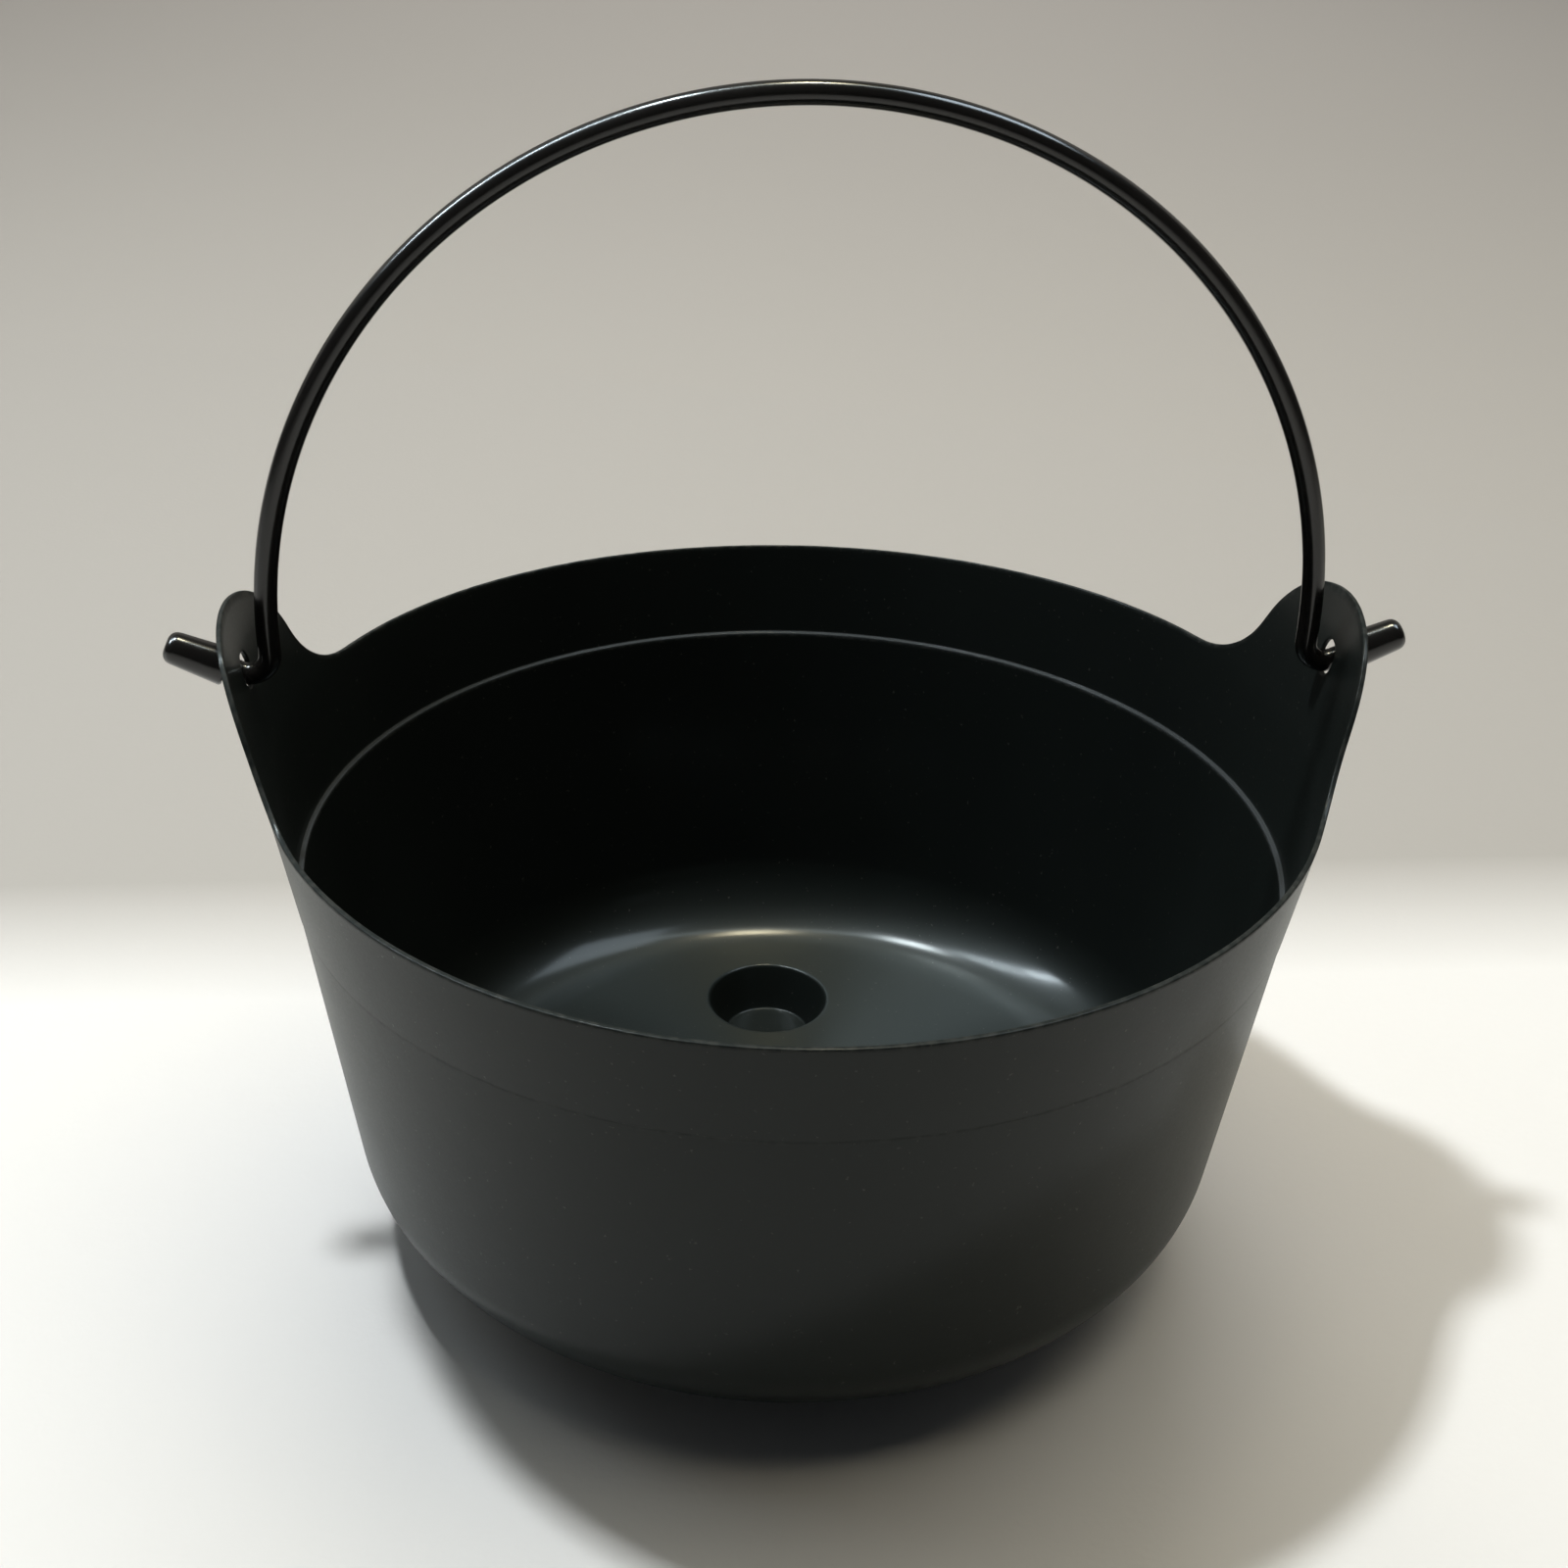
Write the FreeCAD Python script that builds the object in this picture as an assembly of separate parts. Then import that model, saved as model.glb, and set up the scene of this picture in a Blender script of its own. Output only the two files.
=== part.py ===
"""Florist bucket: a black plastic kettle with two pierced ears, and a snap-in bail handle.

The frame has +Z up. Its origin is on the ground under the middle of the kettle, and the ears are on the
X axis. All sizes are in millimetres.
"""
import FreeCAD, Part
import math
import os

V = FreeCAD.Vector

# ---------------------------------------------------------------- driving dimensions
# Kettle body
RIM_RADIUS = 125.0            # outside radius of the wall at the lowest point of the rim
RIM_HEIGHT = 133.5            # height of the rim at its lowest points, front and back
EAR_LEAN = 11.9               # outward lean of the ears above the rim, degrees
BAND_LEAN = 9.5               # lean of the wall between the rim and the ledge
WALL_LEAN = 7.5               # lean of the wall below the ledge
BAND_DEPTH = 25.5             # from the rim down to the ledge line
BAND_WALL = 1.2               # wall thickness above the ledge
LOWER_WALL = 2.1              # wall thickness below the ledge
WITNESS_STEP = 0.2            # the wall outside steps in by this much at the ledge line
SHOULDER_RADIUS = 26.5        # outside radius of the corner between wall and underside
FLOOR_THICKNESS = 2.0

# Hollow stub feet
FOOT_COUNT = 3
FOOT_HEIGHT = 12.75           # from the ground to the underside
FOOT_CIRCLE = 63.4            # radius of the circle that the feet stand on
FOOT_FIRST_ANGLE = 90.0       # one foot stands at the back, midway between the ears
WELL_TOP_RADIUS = 17.1        # mouth of the hollow in the floor
WELL_BOTTOM_RADIUS = 12.5
FOOT_WALL = 1.8
FOOT_EDGE_RADIUS = 1.5        # rounding of the foot's lower edge
WELL_LIP_RADIUS = 1.2         # rounding of the hollow's mouth

# Rim and ears, seen along the X axis
RIM_RISE = 2.1                # the rim climbs this much from front or back towards the ears
EAR_HEIGHT = 36.9             # top of an ear above the lowest rim
EAR_CROWN_RADIUS = 46.0       # flat arc over the top of the ear
EAR_CROWN_ANGLE = 20.0        # half angle of that arc, degrees
EAR_CORNER_RADIUS = 28.0      # tighter arc from the crown to the flank
EAR_FLANK_ANGLE = 68.0        # slope of the straight flank, degrees
VALLEY_RADIUS = 22.0          # hollow fillet from the flank into the rim
PIVOT_ABOVE_RIM = 21.1        # ear hole centre above the lowest rim
EAR_HOLE_DIAMETER = 8.4

# Bail handle
ROD_DIAMETER = 5.25
ARCH_RADIUS = 122.6           # centreline of the arch, and of each leg from the middle
BAIL_SEAT = 1.0               # the rod hangs this far below the middle of the ear hole
BAIL_RISE = 131.2             # centreline at the top of the arch above the rod in the ear hole
ELBOW_RADIUS = 5.0            # centreline of the bend through the ear
PEG_TILT = 23.7               # the pegs rise outwards by this angle
PEG_ROOT_DIAMETER = 9.2       # the pegs taper outwards, so that they snap in and stay in
PEG_TIP_DIAMETER = 7.5
PEG_NECK = 3.2                # thin neck between the elbow and the thick peg
PEG_LENGTH = 14.6             # thick part of the peg
PEG_TIP_RADIUS = 2.4          # rounding of the peg's tip
PEG_ROOT_RADIUS = 0.8         # rounding of the peg's inner end

# ---------------------------------------------------------------- derived sizes
EAR_TOP = RIM_HEIGHT + EAR_HEIGHT
LEDGE_HEIGHT = RIM_HEIGHT - BAND_DEPTH
FLOOR_HEIGHT = FOOT_HEIGHT + FLOOR_THICKNESS
PIVOT_HEIGHT = RIM_HEIGHT + PIVOT_ABOVE_RIM
SEAT_HEIGHT = PIVOT_HEIGHT - BAIL_SEAT

# ---------------------------------------------------------------- working values
OVERSHOOT = 20.0              # how far a cutting body runs past what it cuts
TOLERANCE = 0.01              # two lengths closer than this count as equal
RIM_SPANS = 8                 # the rim's curve passes through this many points past the valley


def rise_over(lean):
    """Growth in radius for each millimetre of height."""
    return math.tan(math.radians(lean))


def outside_radius(height):
    """Radius of the outside of the band or of an ear at a height."""
    lean = EAR_LEAN if height > RIM_HEIGHT else BAND_LEAN
    return RIM_RADIUS + (height - RIM_HEIGHT) * rise_over(lean)


def wall_section(wall_inset, ledge_radius, bottom, corner_radius):
    """Edges of the lower wall, its rounded corner and the level bottom, from the axis outwards.

    The wall runs down from the ledge line at its own lean, and wall_inset moves it inwards.
    """
    lean = math.radians(WALL_LEAN)
    slope = rise_over(WALL_LEAN)
    wall_top = V(ledge_radius - wall_inset / math.cos(lean), 0, LEDGE_HEIGHT)
    centre_z = bottom + corner_radius
    centre_r = wall_top.x + (centre_z - LEDGE_HEIGHT) * slope - corner_radius / math.cos(lean)

    def at(angle):
        return V(centre_r + corner_radius * math.cos(angle), 0, centre_z + corner_radius * math.sin(angle))

    on_wall = at(-lean)
    on_bottom = at(-math.pi / 2)
    middle = at(-(lean + math.pi / 2) / 2)
    edges = [
        line(V(0, 0, bottom), on_bottom),
        arc(on_bottom, middle, on_wall),
        line(on_wall, wall_top),
    ]
    return edges, wall_top


def line(start, end):
    return Part.LineSegment(start, end).toShape()


def arc(start, middle, end):
    return Part.Arc(start, middle, end).toShape()


def revolved(edges):
    face = Part.Face(Part.Wire(edges))
    return face.revolve(V(0, 0, 0), V(0, 0, 1), 360)


def closed_at_top(edges, start, inset):
    """Finishes a section with the band, the ears' lean and a lid, and spins it into a solid."""
    band_inset = inset / math.cos(math.radians(BAND_LEAN))
    ear_inset = inset / math.cos(math.radians(EAR_LEAN))
    lid = EAR_TOP + OVERSHOOT + inset
    at_rim = V(outside_radius(RIM_HEIGHT) - band_inset, 0, RIM_HEIGHT)
    at_lid = V(outside_radius(lid) - ear_inset, 0, lid)
    bottom = edges[0].Vertexes[0].Point
    edges += [
        line(start, at_rim),
        line(at_rim, at_lid),
        line(at_lid, V(0, 0, lid)),
        line(V(0, 0, lid), bottom),
    ]
    return revolved(edges)


def body_outside():
    """Solid kettle without feet, up to above the ears."""
    ledge_radius = outside_radius(LEDGE_HEIGHT)
    edges, wall_top = wall_section(WITNESS_STEP, ledge_radius, FOOT_HEIGHT, SHOULDER_RADIUS)
    step_out = V(outside_radius(LEDGE_HEIGHT + WITNESS_STEP), 0, LEDGE_HEIGHT + WITNESS_STEP)
    edges.append(line(wall_top, step_out))
    return closed_at_top(edges, step_out, 0.0)


def body_inside():
    """Hollow of the kettle, with the ledge where the wall grows thicker."""
    ledge_radius = outside_radius(LEDGE_HEIGHT)
    corner = SHOULDER_RADIUS - LOWER_WALL
    edges, wall_top = wall_section(WITNESS_STEP + LOWER_WALL, ledge_radius, FLOOR_HEIGHT, corner)
    ledge_outer = V(ledge_radius - BAND_WALL / math.cos(math.radians(BAND_LEAN)), 0, LEDGE_HEIGHT)
    edges.append(line(wall_top, ledge_outer))
    return closed_at_top(edges, ledge_outer, BAND_WALL)


def rim_profile_height(y):
    """Height of the rim where it crosses a distance y from the X axis, away from the ears."""
    return RIM_HEIGHT + RIM_RISE * (1 - (y / RIM_RADIUS) ** 2)


def ear_outline():
    """Points of one side of the ear outline in the YZ plane, from the crown to the rim."""
    crown_angle = math.radians(EAR_CROWN_ANGLE)
    flank = math.radians(EAR_FLANK_ANGLE)
    crown_centre = V(0, 0, EAR_TOP - EAR_CROWN_RADIUS)
    shift = EAR_CROWN_RADIUS - EAR_CORNER_RADIUS
    corner_centre = crown_centre + V(0, shift * math.sin(crown_angle), shift * math.cos(crown_angle))

    def on_corner(angle):
        return corner_centre + V(0, math.sin(angle), math.cos(angle)) * EAR_CORNER_RADIUS

    def on_crown(angle):
        return crown_centre + V(0, math.sin(angle), math.cos(angle)) * EAR_CROWN_RADIUS

    flank_top = on_corner(flank)
    down = V(0, math.cos(flank), -math.sin(flank))
    inward = V(0, math.sin(flank), math.cos(flank))

    # The valley circle touches the flank on its outer side and the rim curve below it.
    length = 0.0
    while True:
        centre = flank_top + down * length + inward * VALLEY_RADIUS
        if centre.z - VALLEY_RADIUS <= rim_profile_height(centre.y):
            break
        length += TOLERANCE
    valley_top = flank_top + down * length
    valley_low = V(0, centre.y, centre.z - VALLEY_RADIUS)
    valley_angle = flank / 2
    valley_middle = centre - V(0, math.sin(valley_angle), math.cos(valley_angle)) * VALLEY_RADIUS
    return dict(
        apex=V(0, 0, EAR_TOP),
        crown_middle=on_crown(crown_angle / 2),
        crown_end=on_crown(crown_angle),
        corner_middle=on_corner((crown_angle + flank) / 2),
        corner_end=flank_top,
        valley_top=valley_top,
        valley_middle=valley_middle,
        valley_low=valley_low,
    )


def top_trimmer():
    """Everything above the rim and around the ears, as one body that runs along X."""
    p = ear_outline()
    far_y = RIM_RADIUS + OVERSHOOT
    ceiling = EAR_TOP + 3 * OVERSHOOT
    start = p["valley_low"]
    rim_points = []
    for i in range(RIM_SPANS + 1):
        y = start.y + (far_y - start.y) * i / RIM_SPANS
        climb = rim_profile_height(y) - rim_profile_height(start.y)
        rim_points.append(V(0, y, start.z + climb))
    rim_curve = Part.BSplineCurve()
    rim_curve.interpolate(rim_points)
    half = [
        arc(p["apex"], p["crown_middle"], p["crown_end"]),
        arc(p["crown_end"], p["corner_middle"], p["corner_end"]),
        line(p["corner_end"], p["valley_top"]),
        arc(p["valley_top"], p["valley_middle"], p["valley_low"]),
        rim_curve.toShape(),
    ]
    far_low = rim_points[-1]
    far_high = V(0, far_y, ceiling)
    half.append(line(far_low, far_high))
    half.append(line(far_high, V(0, 0, ceiling)))
    half.append(line(V(0, 0, ceiling), p["apex"]))
    side = Part.Face(Part.Wire(half))
    reach = outside_radius(EAR_TOP) + OVERSHOOT
    right = side.extrude(V(2 * reach, 0, 0))
    right.translate(V(-reach, 0, 0))
    left = right.mirror(V(0, 0, 0), V(0, 1, 0))
    return right, left


def foot_outside():
    """Tapered stub that runs up into the floor."""
    lean = (WELL_TOP_RADIUS - WELL_BOTTOM_RADIUS) / FOOT_HEIGHT
    bottom_radius = WELL_BOTTOM_RADIUS + FOOT_WALL - FLOOR_THICKNESS * lean
    top_radius = bottom_radius + FLOOR_HEIGHT * lean
    foot = Part.makeCone(bottom_radius, top_radius, FLOOR_HEIGHT)
    low_edges = [e for e in foot.Edges if e.BoundBox.ZMax < TOLERANCE and e.Closed]
    return foot.makeFillet(FOOT_EDGE_RADIUS, low_edges)


def foot_hollow():
    """Tapered hollow of a foot, open to the inside of the kettle."""
    return Part.makeCone(WELL_BOTTOM_RADIUS, WELL_TOP_RADIUS, FOOT_HEIGHT, V(0, 0, FLOOR_THICKNESS))


def pot_shell():
    shell = body_outside()
    foot_angles = [FOOT_FIRST_ANGLE + 360.0 / FOOT_COUNT * i for i in range(FOOT_COUNT)]
    places = []
    for angle in foot_angles:
        turn = math.radians(angle)
        places.append(V(FOOT_CIRCLE * math.cos(turn), FOOT_CIRCLE * math.sin(turn), 0))
    for place in places:
        foot = foot_outside()
        foot.translate(place)
        shell = shell.fuse(foot)
    shell = shell.cut(body_inside())
    for place in places:
        hollow = foot_hollow()
        hollow.translate(place)
        shell = shell.cut(hollow)
    lips = [e for e in shell.Edges
            if e.Closed and abs(e.BoundBox.ZMin - FLOOR_HEIGHT) < TOLERANCE
            and abs(e.BoundBox.ZMax - FLOOR_HEIGHT) < TOLERANCE
            and e.BoundBox.XLength < 2 * WELL_TOP_RADIUS + WELL_LIP_RADIUS]
    shell = shell.makeFillet(WELL_LIP_RADIUS, lips)
    for trimmer in top_trimmer():
        shell = shell.cut(trimmer)
    reach = RIM_RADIUS + 2 * OVERSHOOT
    bore = Part.makeCylinder(EAR_HOLE_DIAMETER / 2, 2 * reach, V(-reach, 0, PIVOT_HEIGHT), V(1, 0, 0))
    return shell.cut(bore).removeSplitter()


def bail_half_path():
    """Centreline of the right half of the bail, from the top of the arch to the neck of the peg."""
    top = V(0, 0, SEAT_HEIGHT + BAIL_RISE)
    arch_centre_z = top.z - ARCH_RADIUS
    tilt = math.radians(PEG_TILT)
    eighth = ARCH_RADIUS * math.sqrt(0.5)
    arch_middle = V(eighth, 0, arch_centre_z + eighth)
    arch_end = V(ARCH_RADIUS, 0, arch_centre_z)
    elbow_centre = V(ARCH_RADIUS + ELBOW_RADIUS, 0, SEAT_HEIGHT + ELBOW_RADIUS)
    leg_end = V(ARCH_RADIUS, 0, elbow_centre.z)

    def on_elbow(angle):
        return elbow_centre + V(math.cos(angle), 0, math.sin(angle)) * ELBOW_RADIUS

    elbow_start = math.pi
    elbow_end = 1.5 * math.pi + tilt
    elbow_out = on_elbow(elbow_end)
    direction = V(math.cos(tilt), 0, math.sin(tilt))
    return dict(
        top=top, arch_middle=arch_middle, arch_end=arch_end, leg_end=leg_end,
        elbow_middle=on_elbow((elbow_start + elbow_end) / 2), elbow_out=elbow_out,
        direction=direction,
    )


def rod_along(edges, start, tangent):
    """Round rod swept along tangent edges."""
    section = Part.Wire(Part.makeCircle(ROD_DIAMETER / 2, start, tangent))
    spine = Part.Wire(edges)
    return spine.makePipeShell([section], True, False)


def rounded_peg(start, direction):
    """Thick tapered peg with rounded ends, along a direction."""
    peg = Part.makeCone(PEG_ROOT_DIAMETER / 2, PEG_TIP_DIAMETER / 2, PEG_LENGTH)
    tip = [e for e in peg.Edges if e.BoundBox.ZMin > PEG_LENGTH - TOLERANCE]
    peg = peg.makeFillet(PEG_TIP_RADIUS, tip)
    root = [e for e in peg.Edges if e.BoundBox.ZMax < TOLERANCE and e.Closed]
    peg = peg.makeFillet(PEG_ROOT_RADIUS, root)
    peg.Placement = FreeCAD.Placement(start, FreeCAD.Rotation(V(0, 0, 1), direction))
    return peg


def bail_handle():
    p = bail_half_path()
    neck_end = p["elbow_out"] + p["direction"] * (PEG_NECK + 2 * PEG_ROOT_RADIUS)
    right = rod_along([
        arc(p["top"], p["arch_middle"], p["arch_end"]),
        line(p["arch_end"], p["leg_end"]),
        arc(p["leg_end"], p["elbow_middle"], p["elbow_out"]),
        line(p["elbow_out"], neck_end),
    ], p["top"], V(1, 0, 0))
    peg = rounded_peg(p["elbow_out"] + p["direction"] * PEG_NECK, p["direction"])
    right = right.fuse(peg)
    left = right.mirror(V(0, 0, 0), V(1, 0, 0))
    return right.fuse(left).removeSplitter()


def write(name, shape):
    solid = shape.Solids[0]
    assert len(shape.Solids) == 1 and solid.isValid(), name
    solid.exportStep("parts/%s.step" % name)
    box = solid.BoundBox
    print("%s: volume %.1f cm3, X %.2f..%.2f, Y %.2f..%.2f, Z %.2f..%.2f" % (
        name, solid.Volume / 1000, box.XMin, box.XMax, box.YMin, box.YMax, box.ZMin, box.ZMax))


os.makedirs("parts", exist_ok=True)
write("pot_shell", pot_shell())
write("bail_handle", bail_handle())
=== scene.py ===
import math

import bmesh
import bpy
import numpy as np
from mathutils import Matrix, Vector
from mathutils.geometry import delaunay_2d_cdt


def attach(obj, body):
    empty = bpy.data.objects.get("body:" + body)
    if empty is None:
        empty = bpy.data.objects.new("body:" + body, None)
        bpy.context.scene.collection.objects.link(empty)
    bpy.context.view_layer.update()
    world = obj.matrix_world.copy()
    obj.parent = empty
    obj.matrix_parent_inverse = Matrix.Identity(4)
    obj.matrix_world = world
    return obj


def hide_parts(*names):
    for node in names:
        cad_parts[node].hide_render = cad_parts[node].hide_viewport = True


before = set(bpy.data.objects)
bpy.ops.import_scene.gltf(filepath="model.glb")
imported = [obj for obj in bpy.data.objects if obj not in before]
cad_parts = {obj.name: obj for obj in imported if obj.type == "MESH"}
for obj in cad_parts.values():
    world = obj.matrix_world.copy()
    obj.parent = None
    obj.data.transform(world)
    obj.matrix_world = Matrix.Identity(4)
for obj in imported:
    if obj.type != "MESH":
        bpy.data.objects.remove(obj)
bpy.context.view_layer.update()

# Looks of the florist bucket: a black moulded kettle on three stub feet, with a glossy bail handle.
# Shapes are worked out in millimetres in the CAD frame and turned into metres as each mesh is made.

MM = 0.001

# ---------------------------------------------------------------- kettle sizes, as in the CAD source
RIM_RADIUS = 125.0
RIM_HEIGHT = 133.5
EAR_LEAN = math.radians(11.9)
BAND_LEAN = math.radians(9.5)
WALL_LEAN = math.radians(7.5)
LEDGE_HEIGHT = 108.0
BAND_WALL = 1.2
LOWER_WALL = 2.1
WITNESS_STEP = 0.2
SHOULDER_RADIUS = 26.5
UNDERSIDE_HEIGHT = 12.75
FLOOR_HEIGHT = 14.75
FOOT_CIRCLE = 63.4
FOOT_ANGLES = [math.radians(a) for a in (90.0, 210.0, 330.0)]
WELL_TOP_RADIUS = 17.1
WELL_BOTTOM_RADIUS = 12.5
WELL_BOTTOM_HEIGHT = 2.0
FOOT_WALL = 1.8
RIM_RISE = 2.1
EAR_TOP = 170.4
CROWN_RADIUS = 46.0
CROWN_ANGLE = math.radians(20.0)
CORNER_RADIUS = 28.0
FLANK_ANGLE = math.radians(68.0)
VALLEY_RADIUS = 22.0
PIVOT_HEIGHT = 154.6
HOLE_RADIUS = 4.2
HOLE_ROUND = 0.3
EDGE_ROUND = 0.34
NICK_SIZE = 0.035

# ---------------------------------------------------------------- bail sizes
ROD_RADIUS = 2.625
ARCH_RADIUS = 122.6
ARCH_CENTRE = 162.2
SEAT_HEIGHT = 153.6           # the rod hangs 1 mm below the middle of the ear hole
ELBOW_RADIUS = 5.0
PEG_TILT = math.radians(23.7)
PEG_ROOT_RADIUS = 4.6
PEG_TIP_RADIUS = 3.75
PEG_NECK = 3.2
PEG_LENGTH = 14.6
PEG_TIP_ROUND = 2.4
PEG_ROOT_ROUND = 0.8
SEAM_RISE = 0.045

# ---------------------------------------------------------------- mesh fineness
COLUMNS = 800                 # round the kettle, spaced evenly along the rim and ears
BAND_ROWS = 30                # from the rim down to the ledge
ROUND_STEPS = 4               # across each small rounding
SMALL_ARC = 6                 # across the roundings of feet, wells and pegs
SHOULDER_STEPS = 30
FOOT_COLUMNS = 96
ROD_SEGMENTS = 48
STEP_ROWS = 2 * (ROUND_STEPS + 1)
PAINTED_LEDGE_HIGHLIGHT = 2.5                  # level of the wear-and-highlight mark on the ledge inside, which paints the ledge's highlight as a pale bluish line; the edges of the rim and ears have 1
SCUFF_AND_PAINTED_HIGHLIGHT = 0.6                 # wear of the faint witness step outside, which also paints a faint light line along it
PATCH_ABOVE = 4               # rows and columns of wall round an ear hole that the hole's rings replace
PATCH_ROWS = 7
PATCH_SIDE = 6
WELL_MARGIN = 1.6             # from the side of a well to the ring where the level floor ends
FOOT_MARGIN = 0.8
FLOOR_SPACING = 6.5           # between points of the level floors


# ================================================================ mesh collecting
class Sheet:
    """Points and faces of one mesh, built up row by row."""

    def __init__(self):
        self.points = []
        self.faces = []
        self.wear_and_highlight = []

    def row(self, points, wear_and_highlight=0.0):
        start = len(self.points)
        self.points.extend([tuple(p) for p in points])
        self.wear_and_highlight.extend([wear_and_highlight] * len(points))
        return list(range(start, len(self.points)))

    def quads(self, upper, lower):
        """Faces between two closed rings of as many points."""
        count = len(upper)
        for i in range(count):
            j = (i + 1) % count
            self.faces.append((upper[i], lower[i], lower[j], upper[j]))

    def cap(self, ring, centre):
        middle = self.row([centre])[0]
        for i, corner in enumerate(ring):
            self.faces.append((corner, ring[(i + 1) % len(ring)], middle))

    def made(self, name):
        """The object made of the sheet, with all its faces turned outwards."""
        mesh = bpy.data.meshes.new(name)
        coords = (np.array(self.points) * MM).tolist()
        mesh.from_pydata(coords, [], self.faces)
        wear_and_highlight_layer = mesh.attributes.new("wear_and_highlight", "FLOAT", "POINT")
        wear_and_highlight_layer.data.foreach_set("value", np.array(self.wear_and_highlight, np.float32))
        facing = bmesh.new()
        facing.from_mesh(mesh)
        bmesh.ops.recalc_face_normals(facing, faces=facing.faces)
        facing.to_mesh(mesh)
        facing.free()
        mesh.polygons.foreach_set("use_smooth", [True] * len(mesh.polygons))
        mesh.update()
        piece = bpy.data.objects.new(name, mesh)
        bpy.context.scene.collection.objects.link(piece)
        return piece


def rounded(corners, rounds, steps=ROUND_STEPS):
    """A polyline in (radius, height) whose inner corners are rounded by the radii in rounds."""
    line = [np.array(corners[0], float)]
    for k in range(1, len(corners) - 1):
        before, corner, after = (np.array(c, float) for c in corners[k - 1:k + 2])
        u = (before - corner) / np.linalg.norm(before - corner)
        v = (after - corner) / np.linalg.norm(after - corner)
        half = math.acos(float(np.clip(u @ v, -1, 1))) / 2
        reach = rounds[k - 1] / math.tan(half)
        bisector = (u + v) / np.linalg.norm(u + v)
        centre = corner + bisector * rounds[k - 1] / math.sin(half)
        first = corner + u * reach - centre
        last = corner + v * reach - centre
        turn = math.pi - 2 * half
        for i in range(steps + 1):
            t = i / steps
            weight = math.sin((1 - t) * turn) / math.sin(turn), math.sin(t * turn) / math.sin(turn)
            line.append(centre + first * weight[0] + last * weight[1])
    line.append(np.array(corners[-1], float))
    return line


def between(start, end, parts):
    """Points that divide the straight line from start to end into equal parts."""
    return [start + (end - start) * k / parts for k in range(1, parts)]


# ================================================================ kettle shape
def smooth_knee(x, width=2.5):
    """0 below the knee and x above it, with a short curve between."""
    x = np.asarray(x, float)
    bend = (x + width) ** 2 / (4 * width)
    return np.where(x < -width, 0.0, np.where(x > width, x, bend))


def band_outside(z):
    """Outside radius of the band, and of the ears above the rim."""
    extra = math.tan(EAR_LEAN) - math.tan(BAND_LEAN)
    above = np.asarray(z, float) - RIM_HEIGHT
    return RIM_RADIUS + above * math.tan(BAND_LEAN) + extra * smooth_knee(above)


def band_inside(z):
    return band_outside(z) - BAND_WALL / math.cos(BAND_LEAN)


def ear_arcs():
    """Centres and limits of the arcs that make half of the ear outline, seen along X."""
    crown = np.array([0.0, EAR_TOP - CROWN_RADIUS])
    shift = CROWN_RADIUS - CORNER_RADIUS
    corner = crown + shift * np.array([math.sin(CROWN_ANGLE), math.cos(CROWN_ANGLE)])
    out = np.array([math.sin(FLANK_ANGLE), math.cos(FLANK_ANGLE)])
    down = np.array([math.cos(FLANK_ANGLE), -math.sin(FLANK_ANGLE)])
    flank = corner + CORNER_RADIUS * out
    low, high = 0.0, 60.0
    for _ in range(60):
        middle = (low + high) / 2
        valley = flank + down * middle + out * VALLEY_RADIUS
        rim = RIM_HEIGHT + RIM_RISE * (1 - (valley[0] / RIM_RADIUS) ** 2)
        if valley[1] - VALLEY_RADIUS > rim:
            low = middle
        else:
            high = middle
    return crown, corner, flank, flank + down * low, valley


def rim_outline(y):
    """Height of the rim or ear edge at a distance y from the X axis."""
    y = np.abs(np.asarray(y, float))
    crown, corner, flank, flank_end, valley = ear_arcs()
    crown_edge = CROWN_RADIUS * math.sin(CROWN_ANGLE)
    on_crown = crown[1] + np.sqrt(np.maximum(CROWN_RADIUS ** 2 - y ** 2, 0))
    on_corner = corner[1] + np.sqrt(np.maximum(CORNER_RADIUS ** 2 - (y - corner[0]) ** 2, 0))
    on_flank = flank[1] - (y - flank[0]) * math.tan(FLANK_ANGLE)
    on_valley = valley[1] - np.sqrt(np.maximum(VALLEY_RADIUS ** 2 - (y - valley[0]) ** 2, 0))
    on_rim = RIM_HEIGHT + RIM_RISE * (1 - (y / RIM_RADIUS) ** 2)
    inside = [y < crown_edge, y < flank[0], y < flank_end[0], y < valley[0]]
    return np.select(inside, [on_crown, on_corner, on_flank, on_valley], on_rim)


def edge_height(angle):
    """Height at which the wall at an angle round the kettle meets the rim outline."""
    low = np.full_like(angle, LEDGE_HEIGHT)
    high = np.full_like(angle, EAR_TOP + 5)
    for _ in range(50):
        middle = (low + high) / 2
        radius = (band_outside(middle) + band_inside(middle)) / 2
        under = middle < rim_outline(radius * np.sin(angle))
        low = np.where(under, middle, low)
        high = np.where(under, high, middle)
    return (low + high) / 2


def at(angle, radius, height):
    return np.stack([radius * np.cos(angle), radius * np.sin(angle), height + 0 * angle], axis=-1)


def column_angles():
    """Angles round the kettle, evenly spaced along the rim and ear edge, and alike in each quarter."""
    fine = np.linspace(0, math.pi / 2, 4001)
    height = edge_height(fine)
    edge = at(fine, band_outside(height), height)
    length = np.concatenate([[0], np.cumsum(np.linalg.norm(np.diff(edge, axis=0), axis=1))])
    quarter = np.interp(np.linspace(0, length[-1], COLUMNS // 4 + 1), length, fine)[:-1]
    mirrored = math.pi / 2 + (math.pi / 2 - np.append(quarter, math.pi / 2)[::-1])[:-1]
    half = np.concatenate([quarter, mirrored])
    return np.concatenate([half, half + math.pi])


def nicks(angle):
    """Small unevenness of the trimmed edge, in millimetres, the same on every run."""
    rng = np.random.default_rng(11)
    rise = np.zeros_like(angle)
    for _ in range(26):
        waves = rng.integers(9, 190)
        rise += rng.uniform(0.2, 1.0) / waves ** 0.45 * np.sin(waves * angle + rng.uniform(0, 6.28))
    return NICK_SIZE * rise


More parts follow.
